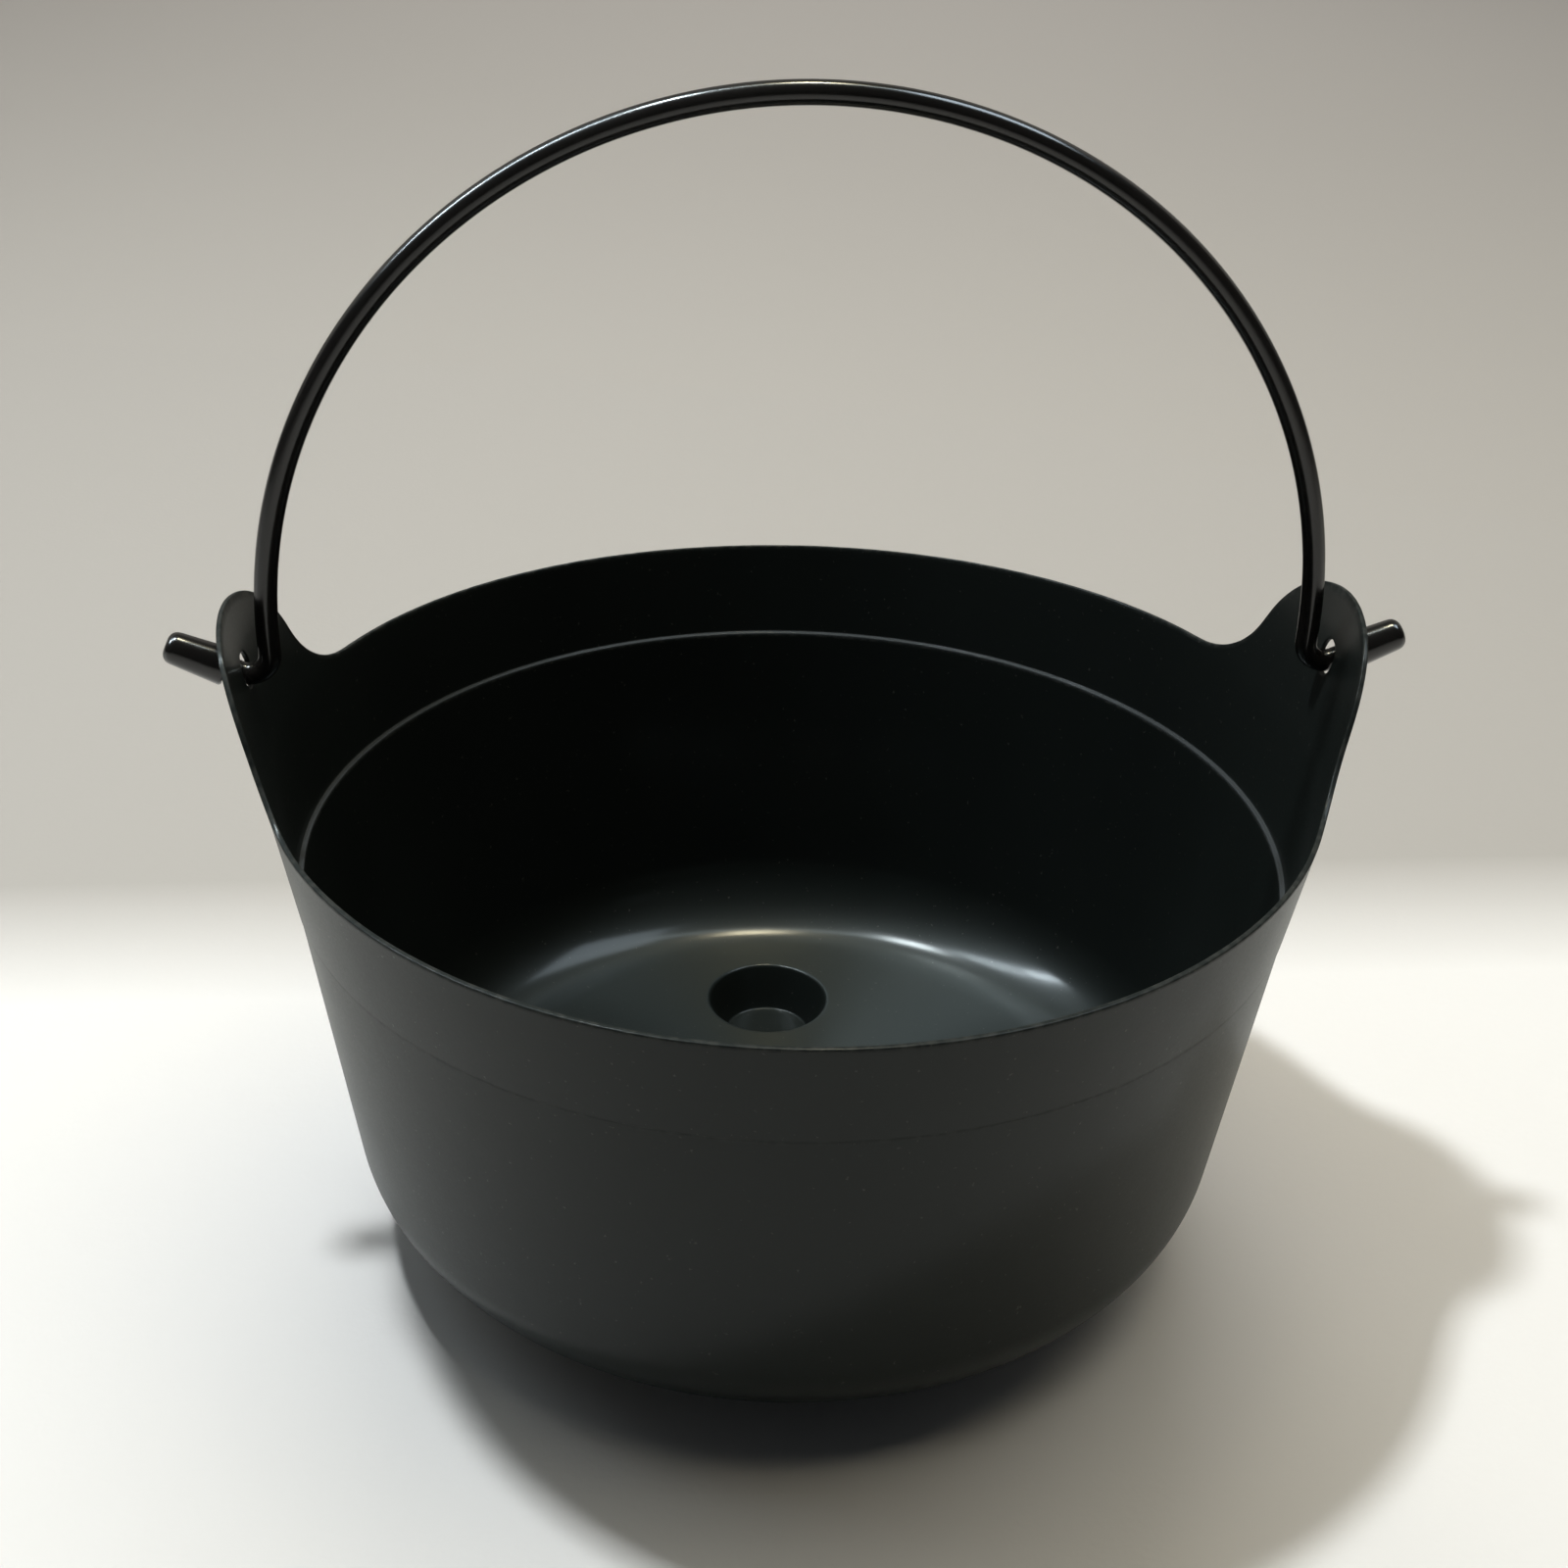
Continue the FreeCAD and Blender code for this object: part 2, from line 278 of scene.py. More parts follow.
def edge_frame(angle):
    """Middle of the rim and ear edge, its outward normal, and the way up out of the wall."""
    height = edge_height(angle)
    radius = (band_outside(height) + band_inside(height)) / 2
    edge = at(angle, radius, height)
    along = np.roll(edge, -1, axis=0) - np.roll(edge, 1, axis=0)
    lean = np.where(height > RIM_HEIGHT, EAR_LEAN, BAND_LEAN)
    cosine, sine = np.cos(lean), np.sin(lean)
    outward = np.stack([np.cos(angle) * cosine, np.sin(angle) * cosine, -sine], axis=-1)
    up = np.cross(outward, along)
    up /= np.linalg.norm(up, axis=1, keepdims=True)
    return edge, outward, up * np.sign(up[:, 2:3])


def edge_rows(sheet, angle):
    """The rounded rim and ear edge. Returns its rows from the outside over to the inside."""
    edge, outward, up = edge_frame(angle)
    half = BAND_WALL / 2
    soft = EDGE_ROUND
    edge = edge + up * nicks(angle)[:, None]
    section = []
    for k in range(ROUND_STEPS + 1):
        t = math.pi / 2 * k / ROUND_STEPS
        section.append((half - soft + soft * math.cos(t), soft * math.sin(t) - soft))
    section += [(-across, rise) for across, rise in reversed(section)]
    rows = []
    for across, rise in section:
        rows.append(sheet.row(edge + outward * across + up * rise, wear_and_highlight=1.0))
    return rows


def wall_rows(sheet, first, angle, radius_at):
    """Rows of the band from just under the edge row first down to just above the ledge."""
    top = np.array([sheet.points[i] for i in first])
    turn = np.unwrap(np.arctan2(top[:, 1], top[:, 0]) - angle)
    turn -= 2 * math.pi * np.round(turn / (2 * math.pi))
    floor = LEDGE_HEIGHT + 0.5
    rows = []
    for k in range(1, BAND_ROWS + 1):
        share = k / BAND_ROWS
        height = top[:, 2] + (floor - top[:, 2]) * share
        rows.append(sheet.row(at(angle + turn * (1 - share), radius_at(height), height)))
    return rows


def hole_ring(centre_side, ys, zs, radius_at, inset):
    """Points of a ring round an ear hole, on a wall surface, moved along X by inset."""
    across = np.sqrt(np.maximum(radius_at(zs) ** 2 - ys ** 2, 0)) + inset
    return np.stack([centre_side * across, ys, zs], axis=-1)


def patch_columns(side):
    middle = 0 if side > 0 else COLUMNS // 2
    return [(middle + k) % COLUMNS for k in range(-PATCH_SIDE, PATCH_SIDE + 1)]


def hole_mouth(sheet, rows, side, radius_at, into):
    """Rings from the square gap left in the wall down to an ear hole. Returns the innermost ring."""
    columns = patch_columns(side)
    top, bottom = PATCH_ABOVE, PATCH_ABOVE + PATCH_ROWS
    loop = [rows[top][c] for c in columns]
    loop += [rows[r][columns[-1]] for r in range(top + 1, bottom + 1)]
    loop += [rows[bottom][c] for c in columns[-2::-1]]
    loop += [rows[r][columns[0]] for r in range(bottom - 1, top, -1)]
    border = np.array([sheet.points[i] for i in loop])
    y, z = border[:, 1], border[:, 2] - PIVOT_HEIGHT
    bearing = np.arctan2(z, y)
    soft = HOLE_ROUND
    reach = np.hypot(y, z)
    outer = loop
    for share in (0.35, 0.65, 0.85, 1.0):
        radius = reach + (HOLE_RADIUS + soft - reach) * share
        ys, zs = radius * np.cos(bearing), PIVOT_HEIGHT + radius * np.sin(bearing)
        ring = sheet.row(hole_ring(side, ys, zs, radius_at, 0.0))
        sheet.quads(outer, ring)
        outer = ring
    for k in range(1, 4):
        t = math.pi / 2 * k / 3
        radius = HOLE_RADIUS + soft - soft * math.sin(t)
        ys, zs = radius * np.cos(bearing), PIVOT_HEIGHT + radius * np.sin(bearing)
        inset = into * soft * (1 - math.cos(t))
        ring = sheet.row(hole_ring(side, ys, zs, radius_at, inset), wear_and_highlight=0.6)
        sheet.quads(outer, ring)
        outer = ring
    return outer


def band_surface(sheet, rows):
    """Faces between the rows of the band, leaving a square gap round each ear hole."""
    left_out = set()
    for side in (1, -1):
        columns = patch_columns(side)[:-1]
        for r in range(PATCH_ABOVE, PATCH_ABOVE + PATCH_ROWS):
            left_out.update((r, c) for c in columns)
    for r in range(len(rows) - 1):
        for c in range(COLUMNS):
            if (r, c) in left_out:
                continue
            d = (c + 1) % COLUMNS
            sheet.faces.append((rows[r][c], rows[r + 1][c], rows[r + 1][d], rows[r][d]))


def lathe_rows(sheet, angle, profile, step_wear_and_highlight):
    """Rows of a turned surface. The first few, across the ledge or witness step, get the given
    wear-and-highlight level, which paints a light line there.
    """
    rows = []
    for k, (radius, height) in enumerate(profile):
        rows.append(sheet.row(at(angle, radius, height), wear_and_highlight=step_wear_and_highlight if k < STEP_ROWS else 0.0))
    return rows


def lower_profile(wall_top, bottom, corner_radius):
    """(radius, height) of a wall below the ledge, its rounded corner and the edge of the level part."""
    slope = math.tan(WALL_LEAN)
    centre_z = bottom + corner_radius
    centre_r = wall_top + (centre_z - LEDGE_HEIGHT) * slope - corner_radius / math.cos(WALL_LEAN)
    arc = []
    for k in range(SHOULDER_STEPS + 1):
        t = -WALL_LEAN + (WALL_LEAN - math.pi / 2) * k / SHOULDER_STEPS
        arc.append((centre_r + corner_radius * math.cos(t), centre_z + corner_radius * math.sin(t)))
    start = LEDGE_HEIGHT - 1.2
    wall = []
    for k in range(14):
        z = start + (arc[0][1] - start) * k / 14
        wall.append((wall_top + (z - LEDGE_HEIGHT) * slope, z))
    guard = 0.8
    return wall + arc + [(centre_r - guard, bottom)]


def outside_profile():
    wall_top = float(band_outside(LEDGE_HEIGHT)) - WITNESS_STEP / math.cos(WALL_LEAN)
    lower = lower_profile(wall_top, UNDERSIDE_HEIGHT, SHOULDER_RADIUS)
    ledge = LEDGE_HEIGHT
    step = rounded([
        (float(band_outside(ledge + 0.5)), ledge + 0.5),
        (float(band_outside(ledge + 0.12)), ledge + 0.12),
        (wall_top, ledge - 0.05),
        lower[0],
    ], [0.14, 0.14])
    return step[1:-1] + lower


def inside_profile():
    wall_top = float(band_outside(LEDGE_HEIGHT)) - (WITNESS_STEP + LOWER_WALL) / math.cos(WALL_LEAN)
    lower = lower_profile(wall_top, FLOOR_HEIGHT, SHOULDER_RADIUS - LOWER_WALL)
    ledge = LEDGE_HEIGHT
    step = rounded([
        (float(band_inside(ledge + 0.5)), ledge + 0.5),
        (float(band_inside(ledge)), ledge),
        (wall_top, ledge),
        lower[0],
    ], [0.22, 0.3])
    return step[1:-1] + lower


def foot_places():
    return [(FOOT_CIRCLE * math.cos(a), FOOT_CIRCLE * math.sin(a)) for a in FOOT_ANGLES]


def level_floor(sheet, border, height, hole_radius):
    """The flat part inside the ring border, pierced at each foot. Returns the rings round the holes."""
    places = foot_places()
    bearing = np.linspace(0, 2 * math.pi, FOOT_COLUMNS, endpoint=False)
    rings = []
    for x, y in places:
        circle = at(bearing, np.full_like(bearing, hole_radius), height)
        rings.append(sheet.row(circle + np.array([x, y, 0.0])))
    loops = [border] + rings
    used = [i for loop in loops for i in loop]
    edges = []
    start = 0
    for loop in loops:
        count = len(loop)
        edges += [(start + i, start + (i + 1) % count) for i in range(count)]
        start += count
    outer = math.hypot(*sheet.points[border[0]][:2])
    spare = []
    for ring_radius in np.arange(7.0, outer - 2.0, FLOOR_SPACING):
        count = int(2 * math.pi * ring_radius / FLOOR_SPACING)
        for k in range(count):
            t = 2 * math.pi * (k + 0.5) / count
            x, y = ring_radius * math.cos(t), ring_radius * math.sin(t)
            if min(math.hypot(x - px, y - py) for px, py in places) > hole_radius + 2.0:
                spare.append((x, y, height))
    used += sheet.row(spare)
    flat = [Vector(sheet.points[i][:2]) for i in used]
    made = delaunay_2d_cdt(flat, edges, [], 0, 1e-7)
    for face in made[2]:
        corners = [used[made[3][i][0]] for i in face]
        centre = np.mean([sheet.points[i] for i in corners], axis=0)
        if min(math.hypot(centre[0] - px, centre[1] - py) for px, py in places) < hole_radius - 1e-6:
            continue
        sheet.faces.append(tuple(corners))
    return rings


def foot_lathe(sheet, ring, place, profile):
    """A well or foot hung from its ring in the floor, closed at its bottom."""
    bearing = np.linspace(0, 2 * math.pi, FOOT_COLUMNS, endpoint=False)
    upper = ring
    for radius, height in profile:
        circle = at(bearing, np.full_like(bearing, radius), height)
        lower = sheet.row(circle + np.array([place[0], place[1], 0.0]))
        sheet.quads(upper, lower)
        upper = lower
    sheet.cap(upper, (place[0], place[1], profile[-1][1]))


def hollow_profile(corners, rounds, level):
    """A tapered side with a rounding at each end, and rings across the level bottom."""
    line = rounded(corners, rounds, SMALL_ARC)
    first, second = SMALL_ARC + 1, SMALL_ARC + 2
    inner = [(r, level) for r in (10.5, 8.0, 4.0)]
    return line[1:second] + between(line[first], line[second], 4) + line[second:-1] + inner


def well_profile():
    corners = [
        (WELL_TOP_RADIUS + 2.6, FLOOR_HEIGHT),
        (WELL_TOP_RADIUS, FLOOR_HEIGHT),
        (WELL_BOTTOM_RADIUS, WELL_BOTTOM_HEIGHT),
        (4.0, WELL_BOTTOM_HEIGHT),
    ]
    return hollow_profile(corners, [1.2, 0.9], WELL_BOTTOM_HEIGHT)


def foot_profile():
    lean = (WELL_TOP_RADIUS - WELL_BOTTOM_RADIUS) / UNDERSIDE_HEIGHT
    low = WELL_BOTTOM_RADIUS + FOOT_WALL - WELL_BOTTOM_HEIGHT * lean
    high = low + UNDERSIDE_HEIGHT * lean
    corners = [(high + 3.0, UNDERSIDE_HEIGHT), (high, UNDERSIDE_HEIGHT), (low, 0.0), (4.0, 0.0)]
    return hollow_profile(corners, [1.0, 1.5], 0.0)


def turned_side(sheet, upper, angle, profile, step_wear_and_highlight):
    """Faces of one side of the wall, below its band. Returns the last row, round the level part."""
    for row in lathe_rows(sheet, angle, profile, step_wear_and_highlight):
        sheet.quads(upper, row)
        upper = row
    return upper


def level_side(sheet, border, height, hole_radius, hollow):
    """The level part of one side, with a well or foot of the given profile at each foot place."""
    rings = level_floor(sheet, border, height, hole_radius)
    for ring, place in zip(rings, foot_places()):
        foot_lathe(sheet, ring, place, hollow)


def kettle_piece():
    sheet = Sheet()
    angle = column_angles()
    edge = edge_rows(sheet, angle)
    for upper, lower in zip(edge[:-1], edge[1:]):
        sheet.quads(lower, upper)
    outer = [edge[0]] + wall_rows(sheet, edge[0], angle, band_outside)
    inner = [edge[-1]] + wall_rows(sheet, edge[-1], angle, band_inside)
    band_surface(sheet, outer)
    band_surface(sheet, inner)
    for side in (1, -1):
        outside_ring = hole_mouth(sheet, outer, side, band_outside, -1.0)
        inside_ring = hole_mouth(sheet, inner, side, band_inside, 1.0)
        sheet.quads(outside_ring, inside_ring)
    under_edge = turned_side(sheet, outer[-1], angle, outside_profile(), SCUFF_AND_PAINTED_HIGHLIGHT)
    level_side(sheet, under_edge, UNDERSIDE_HEIGHT, foot_profile()[0][0] + FOOT_MARGIN, foot_profile())
    floor_edge = turned_side(sheet, inner[-1], angle, inside_profile(), PAINTED_LEDGE_HIGHLIGHT)
    level_side(sheet, floor_edge, FLOOR_HEIGHT, WELL_TOP_RADIUS + WELL_MARGIN, well_profile())
    return sheet.made("kettle_shell")


# ================================================================ bail shape
def half_bail_stations():
    """(x, z, heading, radius) from the top of the arch to the tip of the right peg."""
    stations = []
    for k in range(0, 151):
        t = math.pi / 2 * (1 - k / 150)
        x, z = ARCH_RADIUS * math.cos(t), ARCH_CENTRE + ARCH_RADIUS * math.sin(t)
        stations.append((x, z, t - math.pi / 2, ROD_RADIUS))
    elbow_z = SEAT_HEIGHT + ELBOW_RADIUS
    for k in (1, 2):
        z = ARCH_CENTRE + (elbow_z - ARCH_CENTRE) * k / 3
        stations.append((ARCH_RADIUS, z, -math.pi / 2, ROD_RADIUS))
    for k in range(0, 19):
        t = math.pi + (math.pi / 2 + PEG_TILT) * k / 18
        x = ARCH_RADIUS + ELBOW_RADIUS + ELBOW_RADIUS * math.cos(t)
        z = elbow_z + ELBOW_RADIUS * math.sin(t)
        stations.append((x, z, t - 1.5 * math.pi, ROD_RADIUS))
    x0, z0 = stations[-1][:2]
    for along, radius in peg_profile():
        x, z = x0 + along * math.cos(PEG_TILT), z0 + along * math.sin(PEG_TILT)
        stations.append((x, z, PEG_TILT, radius))
    return stations


def peg_profile():
    """(distance from the elbow, radius) of the neck and the peg."""
    end = PEG_NECK + PEG_LENGTH
    line = rounded([
        (0.4, ROD_RADIUS),
        (PEG_NECK, ROD_RADIUS),
        (PEG_NECK + 0.05, PEG_ROOT_RADIUS),
        (end, PEG_TIP_RADIUS),
        (end, 0.6),
    ], [0.22, PEG_ROOT_ROUND * 0.85, PEG_TIP_ROUND], SMALL_ARC)
    root_end = 2 * (SMALL_ARC + 1)
    taper = between(line[root_end], line[root_end + 1], 4)
    return [(1.4, ROD_RADIUS)] + line[1:root_end + 1] + taper + line[root_end + 1:]


def rod_section(heading, x, z, radius, seam):
    """Ring of the rod round a station, with a faint raised seam in the plane of the bail."""
    t = np.linspace(0, 2 * math.pi, ROD_SEGMENTS, endpoint=False)
    size = np.full(ROD_SEGMENTS, radius)
    size[0] += seam
    size[ROD_SEGMENTS // 2] += seam
    normal = np.array([-math.sin(heading), 0.0, math.cos(heading)])
    sideways = np.array([0.0, 1.0, 0.0])
    ring = size[:, None] * (np.cos(t)[:, None] * normal + np.sin(t)[:, None] * sideways)
    return ring + np.array([x, 0.0, z])


def bail_piece():
    sheet = Sheet()
    right = half_bail_stations()
    left = [(-x, z, -heading, radius) for x, z, heading, radius in right[:0:-1]]
    rows = []
    for x, z, heading, radius in left + right:
        seam = SEAM_RISE if radius > 1.0 else 0.0
        rows.append(sheet.row(rod_section(heading, x, z, radius, seam)))
    for upper, lower in zip(rows[:-1], rows[1:]):
        sheet.quads(lower, upper)
    for ring, place in ((rows[0], left[0]), (rows[-1], right[-1])):
        sheet.cap(ring, (place[0], 0.0, place[1]))
    return sheet.made("bail_rod")


# ================================================================ materials
class Nodes:
    """Short calls for building one material."""

    def __init__(self, name):
        self.material = bpy.data.materials.new(name)
        self.material.use_nodes = True
        self.tree = self.material.node_tree
        self.shader = self.tree.nodes["Principled BSDF"]
        texture_space = self.tree.nodes.new("ShaderNodeTexCoord")
        self.where = texture_space.outputs["Object"]
        self.normal = texture_space.outputs["Normal"]

    def new(self, kind, **settings):
        node = self.tree.nodes.new("ShaderNode" + kind)
        for key, value in settings.items():
            setattr(node, key, value)
        return node

    def link(self, start, end):
        self.tree.links.new(start, end)

    def stretched(self, x, y, z):
        node = self.new("Mapping")
        node.inputs["Scale"].default_value = (x, y, z)
        self.link(self.where, node.inputs["Vector"])
        return node.outputs["Vector"]

    def noise(self, scale, detail=2.0, rough=0.5, where=None):
        node = self.new("TexNoise")
        node.inputs["Scale"].default_value = scale
        node.inputs["Detail"].default_value = detail
        node.inputs["Roughness"].default_value = rough
        self.link(where or self.where, node.inputs["Vector"])
        return node.outputs["Fac"]

    def ramp(self, value, low, high, start=0.0, end=1.0):
        node = self.new("MapRange", clamp=True)
        node.inputs["From Min"].default_value = low
        node.inputs["From Max"].default_value = high
        node.inputs["To Min"].default_value = start
        node.inputs["To Max"].default_value = end
        self.link(value, node.inputs["Value"])
        return node.outputs["Result"]

    def math(self, operation, a, b):
        node = self.new("Math", operation=operation)
        for socket, value in zip(node.inputs, (a, b)):
            if isinstance(value, (int, float)):
                socket.default_value = value
            else:
                self.link(value, socket)
        return node.outputs[0]

    def mix(self, share, first, second):
        node = self.new("Mix", data_type="RGBA")
        self.link(share, node.inputs[0])
        for socket, value in ((node.inputs[6], first), (node.inputs[7], second)):
            if isinstance(value, tuple):
                socket.default_value = (*value, 1.0)
            else:
                self.link(value, socket)
        return node.outputs[2]

    def attribute(self, name):
        node = self.new("Attribute", attribute_name=name)
        return node.outputs["Fac"]

    def bump(self, height, distance, strength=1.0, under=None):
        node = self.new("Bump")
        node.inputs["Strength"].default_value = strength
        node.inputs["Distance"].default_value = distance
        self.link(height, node.inputs["Height"])
        if under is not None:
            self.link(under, node.inputs["Normal"])
        return node.outputs["Normal"]


def turned_floor(n):
    """1 on the level floor inside, where a turned mould left fine rings, and 0 elsewhere."""
    place = n.new("SeparateXYZ")
    n.link(n.where, place.inputs[0])
    facing = n.new("SeparateXYZ")
    n.link(n.normal, facing.inputs[0])
    height = place.outputs["Z"]
    low = n.math("MULTIPLY", n.ramp(height, 0.0185, 0.0155), n.ramp(height, 0.0125, 0.0142))
    return n.math("MULTIPLY", low, n.ramp(facing.outputs["Z"], 0.80, 0.97))


def rings_of_the_mould(n, where):
    """Highlights drawn out across fine rings round the Z axis, as far as where is above 0."""
    tangent = n.new("Tangent", direction_type="RADIAL", axis="Z")
    n.link(tangent.outputs[0], n.shader.inputs["Tangent"])
    n.link(n.ramp(where, 0.0, 1.0, 0.0, 0.9), n.shader.inputs["Anisotropic"])
    n.shader.inputs["Anisotropic Rotation"].default_value = 0.25
    n.link(n.ramp(where, 0.0, 1.0, 0.10, 0.22), n.shader.inputs["Specular IOR Level"])


def satin_black():
    """Moulded polypropylene of the kettle: near black, satin, with fine grain and handling marks, and
    painted highlights along the ledge, the witness step and the worn edges.
    """
    n = Nodes("satin_black_plastic")
    flow = n.noise(14.0, 3.0, 0.55, n.stretched(1.0, 1.0, 0.45))
    grain = n.noise(1500.0, 2.0, 0.6)
    peel = n.noise(210.0, 2.0, 0.5)
    scuff = n.noise(9.0, 4.0, 0.7)
    colour = n.mix(n.ramp(flow, 0.3, 0.7), (0.0058, 0.0076, 0.0072), (0.0084, 0.0108, 0.0102))
    dust = n.ramp(n.noise(900.0, 1.0, 0.4), 0.735, 0.80)
    colour = n.mix(n.math("MULTIPLY", dust, 0.35), colour, (0.10, 0.10, 0.09))
    wear_and_highlight = n.attribute("wear_and_highlight")
    # Lighter grey in patches along the edges: on the rim, ears and hole edges this is wear that also paints
    # their broken highlight, and on the witness step it paints a faint light line.
    edge = n.math("MULTIPLY", n.ramp(wear_and_highlight, 0.0, 1.0), n.ramp(n.noise(420.0, 3.0), 0.42, 0.62))
    colour = n.mix(n.math("MULTIPLY", edge, 0.45), colour, (0.045, 0.046, 0.042))
    # Painted highlight: the inside ledge gets a pale bluish line where its small step would catch the
    # light.
    colour = n.mix(n.ramp(wear_and_highlight, 1.2, PAINTED_LEDGE_HIGHLIGHT), colour, (0.040, 0.045, 0.049))
    n.link(colour, n.shader.inputs["Base Color"])
    rough = n.ramp(n.math("ADD", n.math("MULTIPLY", scuff, 0.6), n.math("MULTIPLY", grain, 0.4)),
                   0.3, 0.7, 0.42, 0.52)
    n.link(n.math("ADD", rough, n.ramp(wear_and_highlight, 0.0, 1.0, 0.0, 0.2)), n.shader.inputs["Roughness"])
    surface = n.bump(peel, 0.00005, 0.5)
    surface = n.bump(grain, 0.00002, 0.5, surface)
    n.link(surface, n.shader.inputs["Normal"])
    n.shader.inputs["IOR"].default_value = 1.49
    rings_of_the_mould(n, turned_floor(n))
    n.link(n.ramp(wear_and_highlight, 0.0, 1.0, 0.215, 0.12), n.shader.inputs["Coat Weight"])
    n.shader.inputs["Specular Tint"].default_value = (0.96, 1.0, 0.97, 1.0)
    n.shader.inputs["Coat Roughness"].default_value = 0.16
    n.shader.inputs["Coat Tint"].default_value = (0.90, 1.0, 0.95, 1.0)
    return n.material


def gloss_black():
    """Moulded plastic of the bail: glossy black with faint flow waves along the rod."""
    n = Nodes("gloss_black_plastic")
    flow = n.noise(26.0, 3.0, 0.55)
    waves = n.noise(120.0, 1.0, 0.4)
    fine = n.noise(1400.0, 2.0, 0.5)
    colour = n.mix(n.ramp(flow, 0.3, 0.7), (0.0068, 0.0062, 0.0056), (0.0100, 0.0092, 0.0084))
    n.link(colour, n.shader.inputs["Base Color"])
    n.link(n.ramp(n.math("ADD", n.math("MULTIPLY", flow, 0.7), n.math("MULTIPLY", fine, 0.3)),
                  0.3, 0.7, 0.17, 0.24), n.shader.inputs["Roughness"])
    surface = n.bump(waves, 0.00005, 0.6)
    surface = n.bump(fine, 0.000004, 0.5, surface)
    n.link(surface, n.shader.inputs["Normal"])
    n.shader.inputs["IOR"].default_value = 1.5
    n.shader.inputs["Specular IOR Level"].default_value = 0.50
    return n.material


def pale_board():
    """Pale board with a faint grain, and painted shade that makes it greyer behind the kettle."""
    n = Nodes("pale_floor")
    near = n.mix(n.noise(35.0, 4.0, 0.6), tuple(c * 0.985 for c in FLOOR_NEAR), FLOOR_NEAR)
    split = n.new("SeparateXYZ")
    n.link(n.where, split.inputs[0])
    # Painted shade: the floor turns greyer behind the kettle.
    far = n.ramp(split.outputs["Y"], FLOOR_FADE[0], FLOOR_FADE[1])
    n.link(n.mix(far, near, FLOOR_PAINTED_SHADE), n.shader.inputs["Base Color"])
    n.shader.inputs["Roughness"].default_value = 0.7
    n.link(n.bump(n.noise(420.0, 3.0, 0.6), 0.0002, 0.3), n.shader.inputs["Normal"])
    return n.material


# ================================================================ room, camera and lights
ROOM_TURN = -0.095            # the kettle stands turned by this much from the line of sight, radians
CAMERA_BACK = 0.44058         # from the kettle's axis, along the floor
CAMERA_HEIGHT = 0.36459
CAMERA_TILT = 0.5037
CAMERA_PAN = -0.0056
CAMERA_ROLL = 0.0265
CAMERA_LENS = 47.25
FLOOR_REACH = 3.0
FLOOR_NEAR = (0.80, 0.80, 0.79)
FLOOR_PAINTED_SHADE = (0.40, 0.385, 0.36)
FLOOR_FADE = (0.09, 0.16)     # painted shade turns the floor greyer between these distances behind the axis
SKY_DIM = (0.030, 0.032, 0.034)
SKY_PALE = (0.42, 0.40, 0.36)
SKY_PANEL = (("Y", 0.15, 0.45), ("Z", 0.0, 0.1), ("Z", 0.80, 0.62))   # axis, and where the panel starts


def in_room(x, y, z):
    """A point of the room, whose -Y looks at the camera, in the row frame."""
    cosine, sine = math.cos(ROOM_TURN), math.sin(ROOM_TURN)
    return Vector((cosine * x - sine * y, sine * x + cosine * y, z))


def make_floor():
    mesh = bpy.data.meshes.new("floor")
    corners = [(-1, -1), (1, -1), (1, 1), (-1, 1)]
    mesh.from_pydata([in_room(x * FLOOR_REACH, y * FLOOR_REACH, 0) for x, y in corners], [], [(0, 1, 2, 3)])
    mesh.materials.append(pale_board())
    board = bpy.data.objects.new("floor", mesh)
    bpy.context.scene.collection.objects.link(board)


def make_camera():
    tilt, pan, roll = CAMERA_TILT, CAMERA_PAN, CAMERA_ROLL
    forward = Vector((math.sin(pan) * math.cos(tilt), math.cos(pan) * math.cos(tilt), -math.sin(tilt)))
    right = Vector((math.cos(pan), -math.sin(pan), 0.0))
    up = right.cross(forward)
    rolled_right = math.cos(roll) * right + math.sin(roll) * up
    rolled_up = -math.sin(roll) * right + math.cos(roll) * up
    axes = [in_room(*v) for v in (rolled_right, rolled_up, -forward)]
    data = bpy.data.cameras.new("camera")
    data.lens = CAMERA_LENS
    data.sensor_width = 36.0
    data.clip_start = 0.01
    camera = bpy.data.objects.new("camera", data)
    bpy.context.scene.collection.objects.link(camera)
    camera.matrix_world = Matrix.Translation(in_room(0, -CAMERA_BACK, CAMERA_HEIGHT)) @ Matrix((
        (axes[0].x, axes[1].x, axes[2].x, 0),
        (axes[0].y, axes[1].y, axes[2].y, 0),
        (axes[0].z, axes[1].z, axes[2].z, 0),
        (0, 0, 0, 1),
    ))
    bpy.context.scene.camera = camera


def add_lamp(name, place, size, power, colour, aim=(0.0, 0.0, 0.05)):
    """A flat lamp of the given size that faces its aim."""
    data = bpy.data.lights.new(name, "AREA")
    data.shape = "RECTANGLE"
    data.size, data.size_y = size
    data.energy = power
    data.color = colour
    lamp = bpy.data.objects.new(name, data)
    bpy.context.scene.collection.objects.link(lamp)
    lamp.location = in_room(*place)
    lamp.rotation_euler = (in_room(*aim) - lamp.location).to_track_quat("-Z", "Y").to_euler()
    return lamp


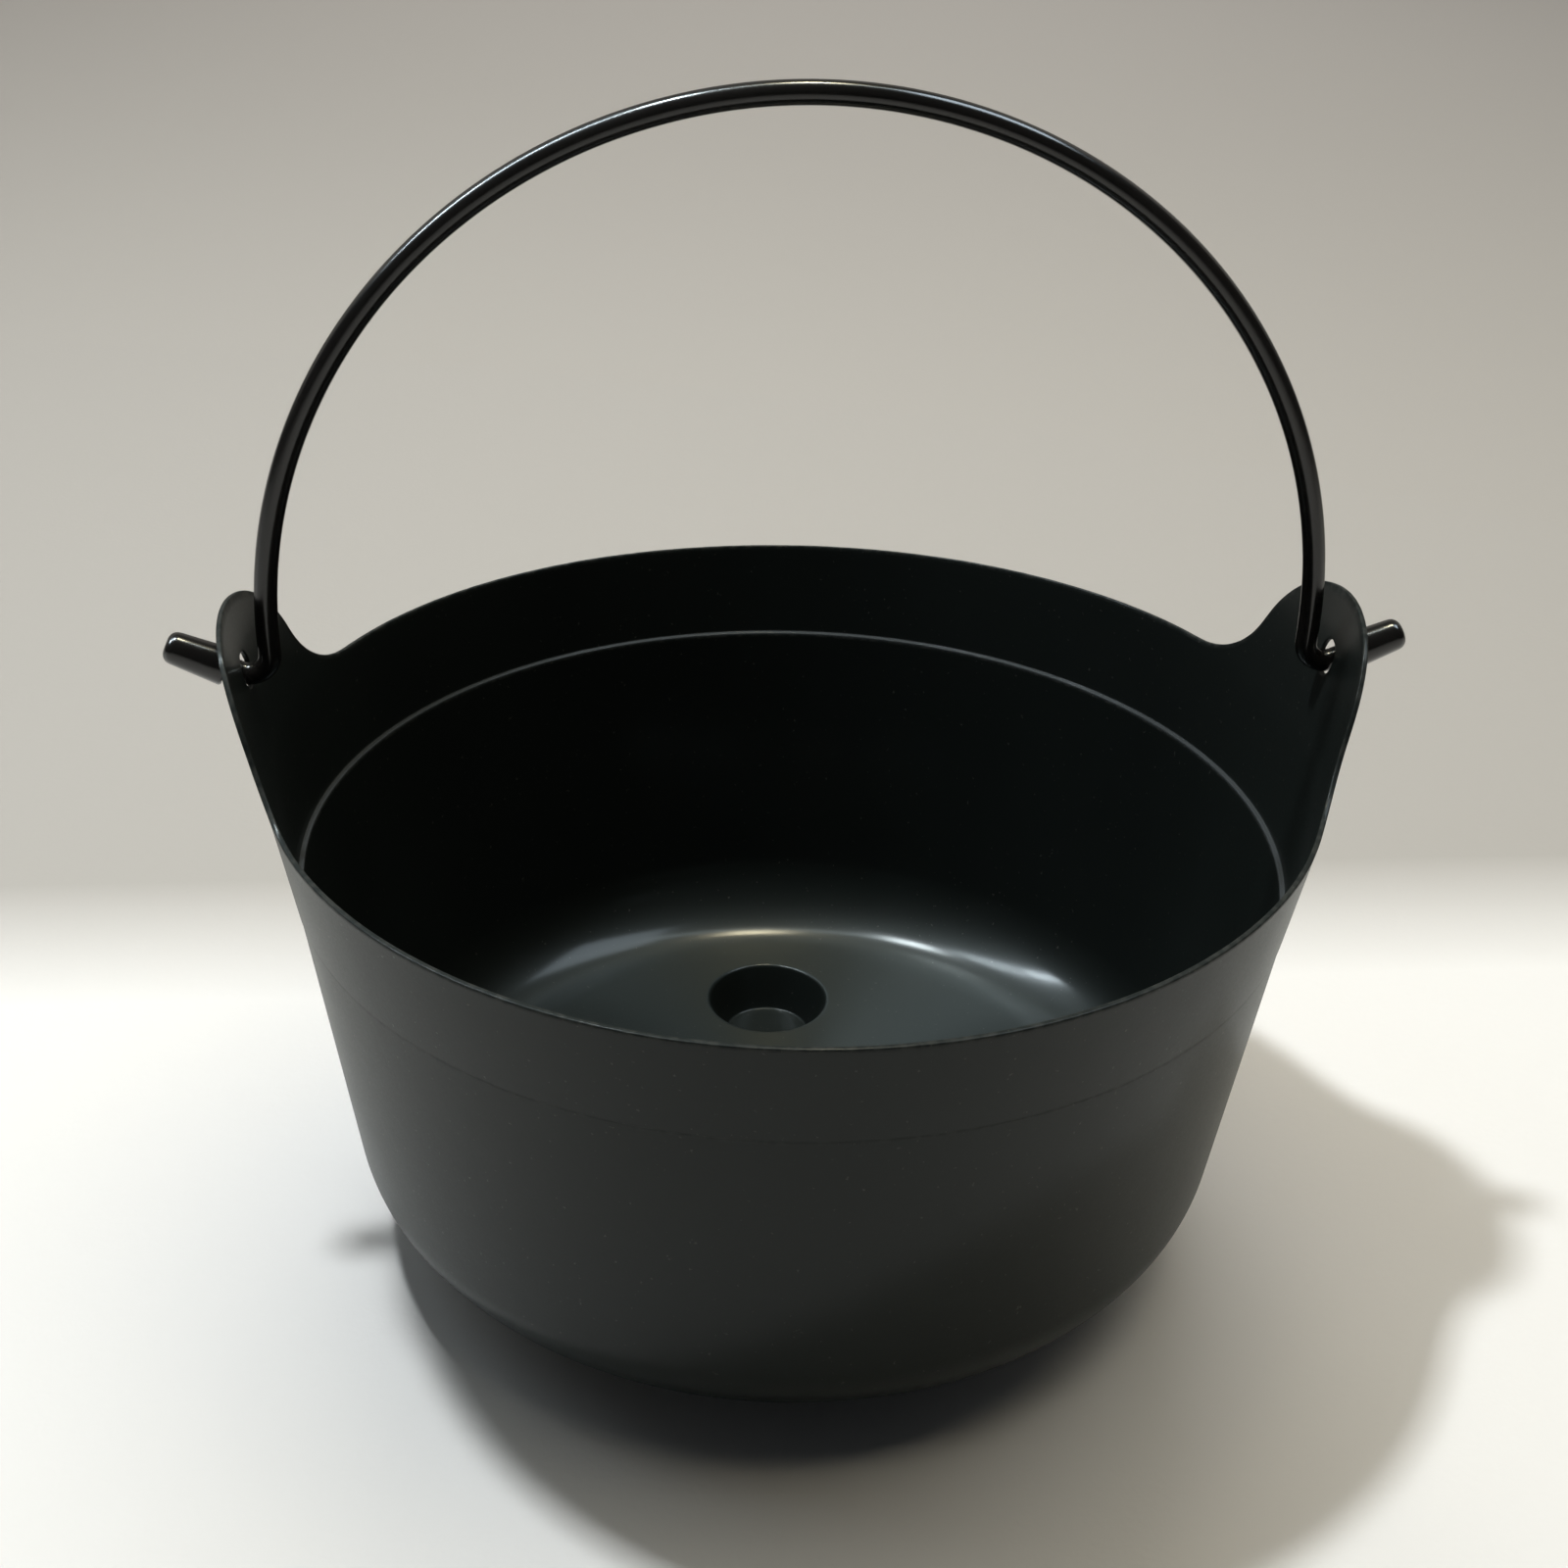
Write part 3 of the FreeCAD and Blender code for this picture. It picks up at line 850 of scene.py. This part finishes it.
def make_sky():
    """Dim surroundings with a soft pale panel behind and above the kettle."""
    world = bpy.data.worlds.new("room")
    world.use_nodes = True
    tree = world.node_tree
    direction = tree.nodes.new("ShaderNodeTexCoord").outputs["Generated"]
    split = tree.nodes.new("ShaderNodeSeparateXYZ")
    tree.links.new(direction, split.inputs[0])
    share = None
    for axis, start, end in SKY_PANEL:
        edge = tree.nodes.new("ShaderNodeMapRange")
        edge.interpolation_type = "SMOOTHSTEP"
        edge.inputs["From Min"].default_value = start
        edge.inputs["From Max"].default_value = end
        tree.links.new(split.outputs[axis], edge.inputs["Value"])
        if share is None:
            share = edge.outputs["Result"]
            continue
        both = tree.nodes.new("ShaderNodeMath")
        both.operation = "MULTIPLY"
        tree.links.new(share, both.inputs[0])
        tree.links.new(edge.outputs["Result"], both.inputs[1])
        share = both.outputs[0]
    mix = tree.nodes.new("ShaderNodeMix")
    mix.data_type = "RGBA"
    tree.links.new(share, mix.inputs[0])
    mix.inputs[6].default_value = (*SKY_DIM, 1.0)
    mix.inputs[7].default_value = (*SKY_PALE, 1.0)
    tree.links.new(mix.outputs[2], tree.nodes["Background"].inputs["Color"])
    bpy.context.scene.world = world


def light_surfaces():
    """A small hard lamp, a broad warm one and one for the far floor, none of them seen in reflections."""
    left = add_lamp("lamp_left", (-0.456, 0.168, 1.747), (0.12, 0.12), 22.5, (0.95, 0.98, 1.0))
    soft = add_lamp("lamp_soft", (0.35, 0.15, 1.75), (1.5, 1.5), 14.0, (1.0, 0.90, 0.70))
    far = add_lamp("lamp_far", (0.0, 2.5, 2.0), (1.8, 1.8), 36.0, (1.0, 0.97, 0.94), (0.0, 2.3, 0.0))
    for lamp in (left, soft, far):
        lamp.visible_glossy = False


def light_glints():
    """Lamps seen only in reflections: two long ones that face straight down, and three short ones."""
    strip = add_lamp("gloss_strip", (-0.48, 0.17, 1.75), (2.1, 0.08), 8.0, (0.80, 0.95, 1.0))
    side = add_lamp("gloss_side", (-1.60, 0.17, 1.75), (1.7, 0.12), 96.0, (0.80, 0.93, 1.0))
    cool = add_lamp("gloss_cool", (-0.456, 0.168, 1.74), (0.18, 0.18), 19.0, (0.85, 0.96, 1.0))
    warm = add_lamp("gloss_warm", (0.10, 0.30, 1.65), (0.14, 0.14), 9.0, (1.0, 0.90, 0.62))
    right = add_lamp("gloss_right", (0.78, 0.17, 1.60), (0.6, 0.6), 13.0, (0.76, 0.90, 1.0))
    for lamp in (strip, side):
        lamp.rotation_euler = (0.0, 0.0, ROOM_TURN)
    for lamp in (strip, side, cool, warm, right):
        lamp.visible_diffuse = False


kettle = kettle_piece()
kettle.data.materials.append(satin_black())
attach(kettle, "kettle")
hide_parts("pot_shell")

bail = bail_piece()
bail.data.materials.append(gloss_black())
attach(bail, "bail")
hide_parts("bail_handle")

make_floor()
make_camera()
make_sky()
light_surfaces()
light_glints()
bpy.context.scene.view_settings.view_transform = "Standard"
